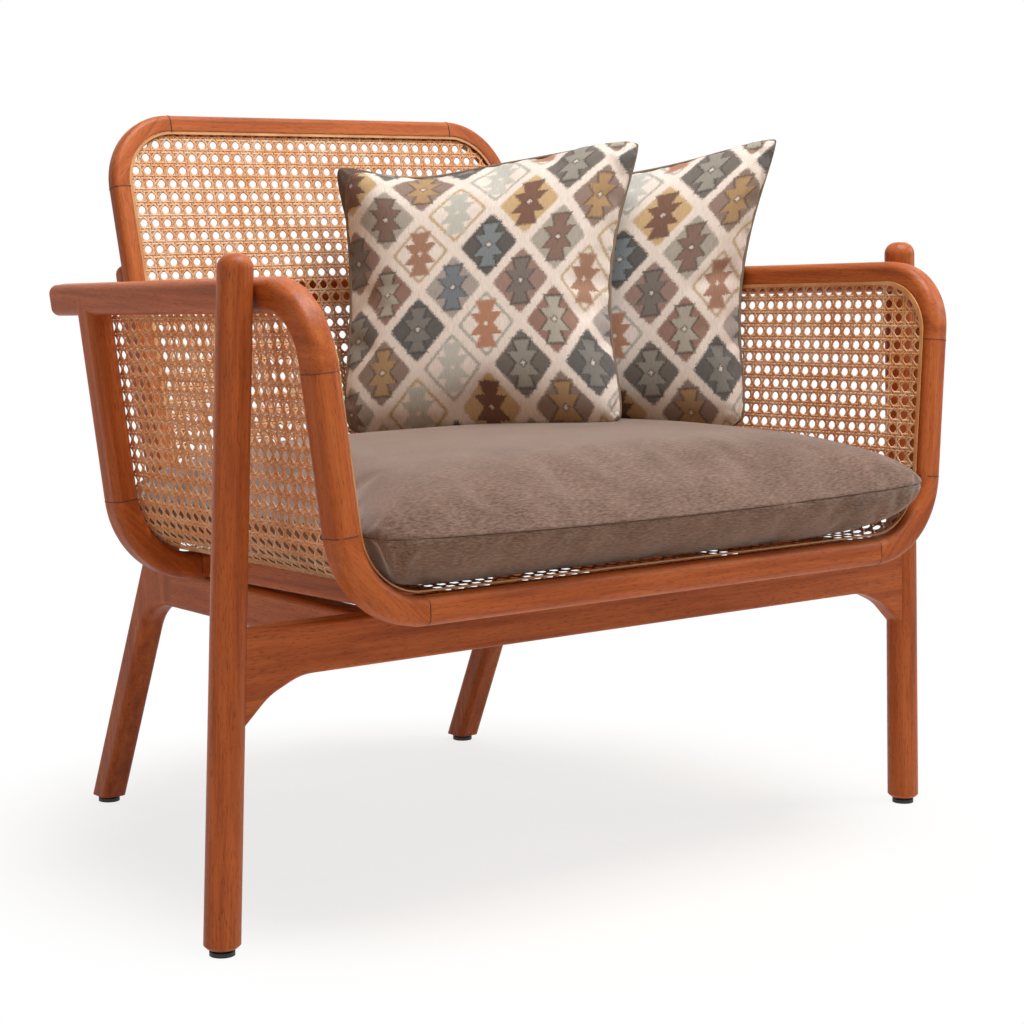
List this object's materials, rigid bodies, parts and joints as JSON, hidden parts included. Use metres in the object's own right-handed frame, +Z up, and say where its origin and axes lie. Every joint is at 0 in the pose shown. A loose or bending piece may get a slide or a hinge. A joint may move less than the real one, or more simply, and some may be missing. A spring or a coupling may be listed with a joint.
{
  "type": "lounge chair",
  "caption": "Low wooden lounge chair with a cane tub seat between bent hoops, a tilted cane back, round front posts, splayed rear legs, a loose seat cushion and throw pillows.",
  "frame": {"origin": "on the floor, under the middle of the chair's bounding box", "axes": "+X to the right seen from the front, +Y to the back, +Z up"},
  "size_m": [0.9482, 0.7038, 0.7794],
  "materials": {
    "teak": "satin lacquered",
    "cane": "woven natural cane",
    "reed": "natural reed",
    "seat_fabric": "fine chenille",
    "pillow_fabric": "printed cotton",
    "glide_plastic": "moulded",
    "steel": "zinc plated"
  },
  "bodies": {
    "frame": {"arm_left": "teak", "arm_right": "teak", "arm_studs": "steel", "back_bottom_corner_left": "teak", "back_bottom_corner_right": "teak", "back_bottom_rail": "teak", "back_cane": "cane", "back_cross_bar": "teak", "back_screws": "steel", "back_spline": "reed", "back_stile_left": "teak", "back_stile_right": "teak", "back_top_corner_left": "teak", "back_top_corner_right": "teak", "back_top_rail": "teak", "front_apron": "teak", "front_bar": "teak", "front_corner_left": "teak", "front_corner_right": "teak", "front_post_left": "teak", "front_post_right": "teak", "front_upright_left": "teak", "front_upright_right": "teak", "glide_front_left": "glide_plastic", "glide_front_right": "glide_plastic", "glide_rear_left": "glide_plastic", "glide_rear_right": "glide_plastic", "joint_dowels": "teak", "rear_bar": "teak", "rear_corner_left": "teak", "rear_corner_right": "teak", "rear_leg_left": "teak", "rear_leg_right": "teak", "rear_rail": "teak", "rear_upright_left": "teak", "rear_upright_right": "teak", "seat_cane": "cane", "seat_screws": "steel", "seat_spline": "reed", "seat_stretcher_left": "teak", "seat_stretcher_right": "teak", "side_rail_left": "teak", "side_rail_right": "teak"},
    "cushion": {"seat_cushion": "seat_fabric"},
    "right_pillow": {"pillow_right": "pillow_fabric"},
    "left_pillow": {"pillow_left": "pillow_fabric"}
  },
  "joints": [
    {"name": "cushion_lift", "type": "slide", "parent": "frame", "child": "cushion", "axis": [0, 0, 1], "range_m": [0, 0.3]},
    {"name": "right_pillow_lift", "type": "slide", "parent": "cushion", "child": "right_pillow", "axis": [0, 0, 1], "range_m": [0, 0.25]},
    {"name": "left_pillow_lift", "type": "slide", "parent": "right_pillow", "child": "left_pillow", "axis": [0, 0, 1], "range_m": [0, 0.25]}
  ]
}
